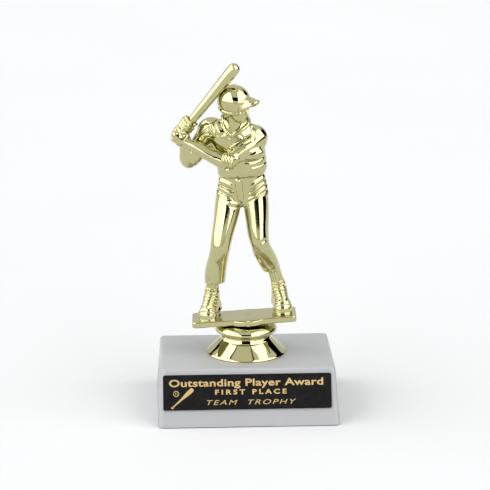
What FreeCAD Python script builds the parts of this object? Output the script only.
"""Batter trophy: a moulded base, a metallised riser and a two-part moulded figure on a threaded rod.

Units are millimetres. The row frame has its origin at the centre of the base's underside, with
+X to the right, -Y to the front (the nameplate's side) and +Z up. The figure is modelled upright
in a frame of its own, whose origin is the centre of its plinth's underside, and is then leaned
and turned as it is clamped.
"""
import FreeCAD, Part
import math
import os

from FreeCAD import Placement, Rotation, Vector

# ---- driving dimensions: base ----
BASE_TOP_Z = 24.9
BASE_RIM_Z = 0.4            # the felt stands this far below the shell's rim
BASE_BOTTOM = (82.2, 70.4)  # width and depth at the rim
BASE_TOP = (78.9, 51.8)     # width and depth at the top edge
BASE_CORNER_R = 2.2
BASE_EDGE_R = 1.3
BASE_WALL = 2.4
ROD_HOLE_R = 4.76           # a 3/8 inch clearance hole
RIB_X = 21.0
RIB_THICKNESS = 1.8
FELT_THICKNESS = 1.2
FELT_INSET = 0.4            # gap between the felt and the inside of the shell
WEIGHT_SIZE = (70.0, 52.0)
WEIGHT_TOP_Z = 9.6

# ---- driving dimensions: nameplate ----
PLATE_WIDTH = 76.2          # a standard 3 x 5/8 inch engraved plate
PLATE_HEIGHT = 15.9
PLATE_THICKNESS = 0.5
PLATE_CORNER_R = 0.8
TAPE_THICKNESS = 0.15
TAPE_MARGIN = 1.2
PLATE_X = -0.8
PLATE_DROP = 10.5           # from the top edge to the plate's centre, down the slope

# ---- driving dimensions: riser ----
RISER_GAP = 0.02
RISER_HEIGHT = 14.05
RISER_WALL = 1.2
RISER_HOLE_R = 4.2

# ---- driving dimensions: figure and its fixings ----
FIGURE_X = -0.37
FIGURE_Z = 39.74
FIGURE_LEAN = 3.6           # degrees, right end of the plinth up
FIGURE_TURN = -1.7          # degrees about the vertical
ROD_X = 1.4                 # the rod's place along the plinth
ROD_R = 2.4
ROD_END_Z = -26.0
THREAD_CLEARANCE = 0.03
INSERT_ACROSS_FLATS = 9.5
INSERT_HEIGHT = 2.0
WASHER_R = 8.0
WASHER_TOP_Z = -18.2
WASHER_THICKNESS = 1.0
LOCK_WASHER_R = 4.3
LOCK_WASHER_THICKNESS = 1.2
NUT_ACROSS_FLATS = 9.5
NUT_HEIGHT = 3.2
PLINTH_LENGTH = 48.0
PLINTH_X = -0.4
PLINTH_DEPTH = 16.2
PLINTH_HEIGHT = 2.8
PLINTH_CORNER_R = 1.8
BOSS_R = 10.4
BOSS_HEIGHT = 2.2
GATE_WIDTH = 0.7
PARTING_Y = 0.8             # plane where the figure's front and back mouldings meet
SHOE_STEP_Z = 14.0          # below this the left foot is all in the back moulding
DOWEL_R = 1.1
DOWEL_LENGTH = 2.6

X_AXIS = Vector(1, 0, 0)
Y_AXIS = Vector(0, 1, 0)
Z_AXIS = Vector(0, 0, 1)

FIGURE_PLACEMENT = Placement(
    Vector(FIGURE_X, 0, FIGURE_Z),
    Rotation(Z_AXIS, FIGURE_TURN).multiply(Rotation(Y_AXIS, -FIGURE_LEAN)),
)


# ---- helpers ----
def export(name, shape):
    solid = shape.Solids[0] if len(shape.Solids) == 1 else shape
    solid.exportStep(os.path.join("parts", name + ".step"))


def in_row_frame(shape):
    """Move a shape from the figure's own frame to the row frame."""
    moved = shape.copy()
    moved.Placement = FIGURE_PLACEMENT.multiply(moved.Placement)
    return moved


def rounded_rectangle(width, depth, radius, z):
    """Closed wire of a rectangle with round corners, centred on the Z axis."""
    x, y = width / 2, depth / 2
    corners = [(x, y, 0), (-x, y, 90), (-x, -y, 180), (x, -y, 270)]
    edges = []
    arcs = []
    for corner_x, corner_y, start in corners:
        centre = Vector(
            corner_x - math.copysign(radius, corner_x), corner_y - math.copysign(radius, corner_y), z
        )
        arcs.append(Part.makeCircle(radius, centre, Z_AXIS, start, start + 90))
    for arc, following in zip(arcs, arcs[1:] + arcs[:1]):
        edges.append(arc)
        edges.append(Part.makeLine(arc.Vertexes[-1].Point, following.Vertexes[0].Point))
    return Part.Wire(Part.__sortEdges__(edges))


def prism(width, depth, radius, z_low, z_high):
    face = Part.Face(rounded_rectangle(width, depth, radius, z_low))
    return face.extrude(Vector(0, 0, z_high - z_low))


def hexagonal_prism(across_flats, x, z_low, height):
    radius = across_flats / math.sqrt(3)
    points = [
        Vector(x + radius * math.cos(math.radians(angle)), radius * math.sin(math.radians(angle)), z_low)
        for angle in range(30, 391, 60)
    ]
    return Part.Face(Part.makePolygon(points)).extrude(Vector(0, 0, height))


def cylinder(radius, x, z_low, z_high):
    return Part.makeCylinder(radius, z_high - z_low, Vector(x, 0, z_low))


def half_revolve(points, arcs_at=()):
    """Solid of revolution about Z from (radius, height) points. Each index in arcs_at is the
    middle point of an arc through its two neighbours."""
    vectors = [Vector(r, 0, h) for r, h in points]
    edges = []
    index = 0
    while index < len(vectors) - 1:
        if index + 1 in arcs_at:
            edges.append(Part.Arc(vectors[index], vectors[index + 1], vectors[index + 2]).toShape())
            index += 2
        else:
            edges.append(Part.makeLine(vectors[index], vectors[index + 1]))
            index += 1
    edges.append(Part.makeLine(vectors[-1], vectors[0]))
    return Part.Face(Part.Wire(edges)).revolve(Vector(0, 0, 0), Z_AXIS, 360)


def ellipse_section(centre, across, along, radius_across, radius_along):
    """Smooth closed wire of an ellipse about centre, with its axes along two unit vectors."""
    points = []
    for step in range(12):
        angle = math.radians(30 * step)
        points.append(
            centre + across * (radius_across * math.cos(angle)) + along * (radius_along * math.sin(angle))
        )
    curve = Part.BSplineCurve()
    curve.interpolate(points, PeriodicFlag=True)
    return Part.Wire(curve.toShape())


def upright_loft(stations):
    """Loft through level ellipses, each (z, x, y, half width, half depth)."""
    wires = [ellipse_section(Vector(x, y, z), X_AXIS, Y_AXIS, rx, ry) for z, x, y, rx, ry in stations]
    return Part.makeLoft(wires, True, False)


def limb(stations):
    """Loft through round sections square to a path, each (x, y, z, radius)."""
    centres = [Vector(x, y, z) for x, y, z, radius in stations]
    wires = []
    for index, centre in enumerate(centres):
        before = centres[max(index - 1, 0)]
        after = centres[min(index + 1, len(centres) - 1)]
        heading = (after - before).normalize()
        across = heading.cross(Y_AXIS).normalize()
        along = heading.cross(across).normalize()
        radius = stations[index][3]
        wires.append(ellipse_section(centre, across, along, radius, radius))
    return Part.makeLoft(wires, True, False)


def ellipsoid(centre, radii, heading=0.0):
    """Ellipsoid with half axes (side, fore and aft, up), turned about Z by heading degrees."""
    matrix = FreeCAD.Matrix()
    matrix.scale(Vector(*radii))
    shape = Part.makeSphere(1.0).transformGeometry(matrix)
    shape.Placement = Placement(Vector(*centre), Rotation(Z_AXIS, heading))
    return shape


# ---- base ----
def base_shell():
    outer = Part.makeLoft(
        [
            rounded_rectangle(*BASE_BOTTOM, BASE_CORNER_R, BASE_RIM_Z),
            rounded_rectangle(*BASE_TOP, BASE_CORNER_R, BASE_TOP_Z),
        ],
        True,
        True,
    )
    top_edges = [e for e in outer.Edges if e.BoundBox.ZMin > BASE_TOP_Z - 0.01]
    outer = outer.makeFillet(BASE_EDGE_R, top_edges)
    inner = Part.makeLoft(
        [
            rounded_rectangle(
                BASE_BOTTOM[0] - 2 * BASE_WALL, BASE_BOTTOM[1] - 2 * wall_inset(), 1.0, BASE_RIM_Z - 0.01
            ),
            rounded_rectangle(
                BASE_TOP[0] - 2 * BASE_WALL, ceiling_depth(), 1.0, BASE_TOP_Z - BASE_WALL
            ),
        ],
        True,
        True,
    )
    shell = outer.cut(inner)
    for side in (-1, 1):
        rib = Part.makeBox(
            RIB_THICKNESS,
            ceiling_depth() + 2.0,
            BASE_TOP_Z - BASE_WALL - WEIGHT_TOP_Z + 0.5,
            Vector(side * RIB_X - RIB_THICKNESS / 2, -ceiling_depth() / 2 - 1.0, WEIGHT_TOP_Z),
        )
        shell = shell.fuse(rib)
    shell = shell.cut(cylinder(ROD_HOLE_R, 0, BASE_TOP_Z - 5, BASE_TOP_Z + 5))
    return shell.removeSplitter()


def front_slope():
    """Unit vector up the front face, and that face's outward normal."""
    run = (BASE_BOTTOM[1] - BASE_TOP[1]) / 2
    rise = BASE_TOP_Z - BASE_RIM_Z
    up = Vector(0, run, rise).normalize()
    return up, X_AXIS.cross(up)


def wall_inset():
    """Level distance through the sloping front wall."""
    up, normal = front_slope()
    return BASE_WALL / abs(normal.y)


def ceiling_depth():
    """Depth of the cavity at the underside of the top."""
    up, normal = front_slope()
    return BASE_TOP[1] + 2 * BASE_WALL * up.y / up.z - 2 * wall_inset()


def felt_pad():
    width = BASE_BOTTOM[0] - 2 * BASE_WALL - 2 * FELT_INSET - 0.4
    depth = BASE_BOTTOM[1] - 2 * wall_inset() - 2 * FELT_INSET - 1.2
    return prism(width, depth, 1.5, 0, FELT_THICKNESS)


def base_weight():
    """Slug between the felt and the shell's ribs, with its upper edges broken."""
    slug = prism(*WEIGHT_SIZE, 3.0, FELT_THICKNESS, WEIGHT_TOP_Z)
    upper = [e for e in slug.Edges if e.BoundBox.ZMin > WEIGHT_TOP_Z - 0.01]
    return slug.makeChamfer(0.8, upper)


def slope_plate(width, height, thickness, radius, lift):
    """Flat plate on the front face, lift above it."""
    up, normal = front_slope()
    plate = prism(width, height, radius, lift, lift + thickness)
    top_edge = Vector(PLATE_X, -BASE_TOP[1] / 2, BASE_TOP_Z)
    tilt = math.degrees(math.atan2(up.z, up.y))
    plate.Placement = Placement(top_edge - up * PLATE_DROP, Rotation(X_AXIS, tilt))
    return plate


def nameplate_tape():
    return slope_plate(
        PLATE_WIDTH - 2 * TAPE_MARGIN, PLATE_HEIGHT - 2 * TAPE_MARGIN, TAPE_THICKNESS, 0.4, 0.0
    )


def nameplate():
    return slope_plate(PLATE_WIDTH, PLATE_HEIGHT, PLATE_THICKNESS, PLATE_CORNER_R, TAPE_THICKNESS)


# ---- riser ----
def riser():
    """Hollow turned form: conical skirt, bead, neck and a domed flange."""
    outer = half_revolve(
        [
            (0, 0), (18.5, 0), (18.35, 0.8), (15.0, 3.8), (12.05, 6.3), (11.85, 7.5), (11.3, 8.1),
            (11.2, 8.4), (12.6, 10.1), (14.0, 10.5), (14.3, 11.0), (13.95, 12.3),
            (13.2, 13.1), (11.6, 13.75), (8.8, RISER_HEIGHT), (0, RISER_HEIGHT),
        ],
        arcs_at=(3, 5, 8, 10, 12),
    )
    roof = RISER_HEIGHT - RISER_WALL
    inner = half_revolve(
        [
            (0, -1), (17.2, -1), (17.2, 0.5), (10.3, 6.9), (9.95, 9.6), (12.6, 11.3), (8.4, roof), (0, roof),
        ]
    )
    hole = cylinder(RISER_HOLE_R, 0, roof - 1, RISER_HEIGHT + 1)
    shell = outer.cut(inner).cut(hole)
    shell.translate(Vector(0, 0, BASE_TOP_Z + RISER_GAP))
    return shell


# ---- plinth and fixings, in the figure's frame ----
def figure_plinth():
    slab = prism(PLINTH_LENGTH, PLINTH_DEPTH, PLINTH_CORNER_R, 0, PLINTH_HEIGHT)
    slab.translate(Vector(PLINTH_X, 0, 0))
    boss = cylinder(BOSS_R, ROD_X, 0, BOSS_HEIGHT)
    gate = Part.makeBox(GATE_WIDTH, 1.2, BOSS_HEIGHT, Vector(ROD_X, -BOSS_R - 0.4, 0))
    plinth = slab.fuse([boss, gate]).removeSplitter()
    pocket = hexagonal_prism(INSERT_ACROSS_FLATS, ROD_X, -0.01, INSERT_HEIGHT + 0.01)
    return plinth.cut(pocket)


def plinth_insert():
    nut = hexagonal_prism(INSERT_ACROSS_FLATS, ROD_X, 0, INSERT_HEIGHT)
    return nut.cut(cylinder(ROD_R + THREAD_CLEARANCE, ROD_X, -1, INSERT_HEIGHT + 1))


def threaded_rod():
    rod = cylinder(ROD_R, ROD_X, ROD_END_Z, INSERT_HEIGHT - 0.05)
    return rod.makeChamfer(0.35, [e for e in rod.Edges if e.Closed])


def flat_washer():
    low = WASHER_TOP_Z - WASHER_THICKNESS
    return cylinder(WASHER_R, ROD_X, low, WASHER_TOP_Z).cut(
        cylinder(ROD_R + 0.3, ROD_X, low - 1, WASHER_TOP_Z + 1)
    )


def lock_washer():
    """Split spring washer, squeezed flat."""
    top = WASHER_TOP_Z - WASHER_THICKNESS
    low = top - LOCK_WASHER_THICKNESS
    ring = cylinder(LOCK_WASHER_R, ROD_X, low, top).cut(cylinder(ROD_R + 0.15, ROD_X, low - 1, top + 1))
    split = Part.makeBox(LOCK_WASHER_R + 1, 0.5, LOCK_WASHER_THICKNESS + 2, Vector(ROD_X, -0.25, low - 1))
    return ring.cut(split)


def hex_nut():
    low = WASHER_TOP_Z - WASHER_THICKNESS - LOCK_WASHER_THICKNESS - NUT_HEIGHT
    nut = hexagonal_prism(NUT_ACROSS_FLATS, ROD_X, low, NUT_HEIGHT)
    crown = Part.makeCone(
        NUT_ACROSS_FLATS / 2 + 0.1, NUT_ACROSS_FLATS / 2 + NUT_HEIGHT, NUT_HEIGHT, Vector(ROD_X, 0, low)
    )
    bore = cylinder(ROD_R + THREAD_CLEARANCE, ROD_X, low - 1, low + NUT_HEIGHT + 1)
    return nut.common(crown).cut(bore)


# ---- figure, in its own frame ----
BAT_KNOB = Vector(-26.3, -2.8, 87.0)
BAT_TIP = Vector(4.2, -7.8, 121.2)


def bat():
    """Turned bat: knob, handle, barrel and round end."""
    length = (BAT_TIP - BAT_KNOB).Length
    profile = half_revolve(
        [
            (0, 0), (1.9, 0), (2.5, 0.6), (1.9, 1.2), (1.35, 2.0), (2.0, 15.5), (2.3, 24.0),
            (2.6, length - 14.0), (2.78, length - 4.0), (2.3, length - 0.8), (0.9, length), (0, length),
        ],
        arcs_at=(2, 9),
    )
    profile.Placement = Placement(BAT_KNOB, Rotation(Z_AXIS, BAT_TIP - BAT_KNOB))
    return profile


def torso():
    return upright_loft(
        [
            (54, 2.3, 1.2, 10.6, 6.2), (58, 2.8, 1.3, 11.9, 7.2), (64, 3.2, 1.2, 11.3, 7.3),
            (69, 3.0, 1.0, 10.6, 6.6), (73, 3.0, 0.6, 11.4, 7.0), (79, 2.0, 0.2, 12.8, 7.2),
            (85, 0.3, 0.0, 14.6, 7.4), (90, -0.2, 0.0, 13.2, 6.6), (94, 1.0, -1.0, 7.6, 5.0),
        ]
    )


def neck():
    return limb([(0.8, -0.8, 91, 5.2), (1.6, -2.2, 95, 4.7), (2.0, -3.2, 99, 4.6)])


def head():
    """Head with its helmet, turned towards the pitcher on the figure's left."""
    skull = ellipsoid((2.6, -4.3, 101.0), (5.2, 6.0, 7.2), 57)
    dome = ellipsoid((1.2, -3.4, 104.0), (7.3, 7.7, 7.4), 57)
    below_rim = Part.makeBox(40, 40, 20, Vector(-20, -25, 79.6))
    below_rim.rotate(Vector(1.2, -3.4, 99.6), Y_AXIS, -6)
    brim = ellipsoid((7.6, -7.6, 103.0), (5.4, 5.6, 0.9), 57)
    return [skull, dome.cut(below_rim), brim]


def right_leg():
    """The figure's right leg, on the viewer's left."""
    return upright_loft(
        [
            (58, -3.4, 1.2, 5.0, 6.2), (52, -4.8, -0.3, 5.8, 6.4), (46, -6.5, -2.0, 5.3, 6.0),
            (37, -9.0, -3.2, 4.6, 5.5), (29, -11.0, -1.6, 4.7, 5.2), (20, -12.5, 1.3, 4.7, 5.1),
        ]
    )


def left_leg():
    return upright_loft(
        [
            (58, 8.9, 1.2, 5.0, 6.2), (52, 8.7, -0.3, 5.6, 6.5), (45, 8.6, -2.2, 5.0, 6.0),
            (38, 9.1, -3.1, 4.3, 5.5), (30, 11.4, -0.7, 4.6, 5.3), (23, 13.9, 3.1, 4.2, 5.1),
        ]
    )


def ankles():
    right = limb([(-12.6, 1.5, 24, 2.5), (-13.7, 2.9, 15, 2.4), (-14.3, 3.4, 7, 2.9)])
    left = limb([(14.2, 3.8, 27, 2.5), (15.5, 4.2, 17, 2.6), (16.8, 4.6, 7, 3.0)])
    return [right, left]


def shoe(toe, heel, width):
    """Shoe standing on the plinth, from its heel to its toe, each an (x, y) place."""
    heel_point = Vector(heel[0], heel[1], 0)
    toe_point = Vector(toe[0], toe[1], 0)
    forward = (toe_point - heel_point).normalize()
    across = forward.cross(Z_AXIS)
    length = (toe_point - heel_point).Length
    wires = []
    for rise, middle, reach, spread in (
        (0.0, 0.50, 0.48, 1.0), (2.4, 0.49, 0.50, 1.06), (4.6, 0.42, 0.40, 0.95), (7.5, 0.30, 0.26, 0.85),
    ):
        centre = heel_point + forward * (length * middle) + Vector(0, 0, PLINTH_HEIGHT + rise)
        wires.append(ellipse_section(centre, across, forward, width / 2 * spread, length * reach))
    return Part.makeLoft(wires, True, False)


def arms():
    left_upper = limb(
        [(11.5, -0.8, 87, 4.6), (9.4, -4.4, 84, 5.2), (4.4, -8.2, 80.6, 4.7), (-2.6, -10.2, 78.2, 4.0)]
    )
    left_fore = limb(
        [(0.4, -9.8, 78.8, 3.3), (-7.5, -10.0, 79.4, 3.3), (-15.5, -7.9, 83.8, 2.8), (-23.4, -4.2, 88.6, 2.1)]
    )
    right_upper = limb(
        [(-5.5, -0.2, 91.0, 3.6), (-11.2, 0.3, 90.4, 4.8), (-15.8, 0.8, 85.2, 4.8), (-20.0, 1.4, 77.4, 4.3)]
    )
    right_fore = limb(
        [(-19.8, 2.2, 75.4, 3.2), (-21.2, -0.4, 79.4, 3.6), (-22.2, -2.2, 85, 2.9), (-22.4, -3.4, 90.5, 2.3)]
    )
    return [left_upper, left_fore, right_upper, right_fore]


def hands():
    """Both closed hands, stacked on the bat's handle."""
    heading = BAT_TIP - BAT_KNOB
    shapes = []
    for distance, radii in ((4.1, (3.6, 3.6, 3.0)), (9.4, (3.6, 3.5, 3.0))):
        fist = ellipsoid((0, 0, 0), radii)
        centre = BAT_KNOB + (heading * (distance / heading.Length)) + Vector(0.2, 0, 0)
        fist.Placement = Placement(centre, Rotation(Z_AXIS, heading))
        shapes.append(fist)
    return shapes


def figure_body():
    pieces = [neck(), right_leg(), left_leg(), *ankles(), *head(), *arms(), *hands()]
    pieces.append(shoe((-18.2, -7.0), (-13.2, 5.2), 5.8))
    pieces.append(shoe((18.0, -1.2), (16.4, 7.6), 6.4))
    body = torso()
    for piece in pieces:
        body = body.fuse(piece)
    return body.cut(bat())


def figure_halves():
    """Front and back mouldings of the batter, located by two dowels on the front one. The parting
    plane steps forward round the left shoe, which belongs wholly to the back moulding."""
    body = figure_body()
    front_space = Part.makeBox(120, 60, 160, Vector(-60, PARTING_Y - 60, 0))
    shoe_space = Part.makeBox(40, 60, SHOE_STEP_Z, Vector(6, PARTING_Y - 60, 0))
    back_space = Part.makeBox(120, 60, 160, Vector(-60, PARTING_Y, 0)).fuse(shoe_space)
    front = body.common(front_space.cut(shoe_space))
    back = body.common(back_space)
    for x, z in ((3.0, 62.0), (0.5, 86.0)):
        start = Vector(x, PARTING_Y - 1.0, z)
        front = front.fuse(Part.makeCylinder(DOWEL_R, 1.0 + DOWEL_LENGTH, start, Y_AXIS))
        back = back.cut(Part.makeCylinder(DOWEL_R + 0.05, 1.0 + DOWEL_LENGTH + 0.3, start, Y_AXIS))
    return front, back


def main():
    os.makedirs("parts", exist_ok=True)
    export("base_shell", base_shell())
    export("base_weight", base_weight())
    export("felt_pad", felt_pad())
    export("nameplate_tape", nameplate_tape())
    export("nameplate", nameplate())
    export("riser", riser())
    front, back = figure_halves()
    figure_nodes = {
        "figure_plinth": figure_plinth(),
        "plinth_insert": plinth_insert(),
        "threaded_rod": threaded_rod(),
        "flat_washer": flat_washer(),
        "lock_washer": lock_washer(),
        "hex_nut": hex_nut(),
        "bat": bat(),
        "figure_front": front,
        "figure_back": back,
    }
    for name, shape in figure_nodes.items():
        export(name, in_row_frame(shape))


main()
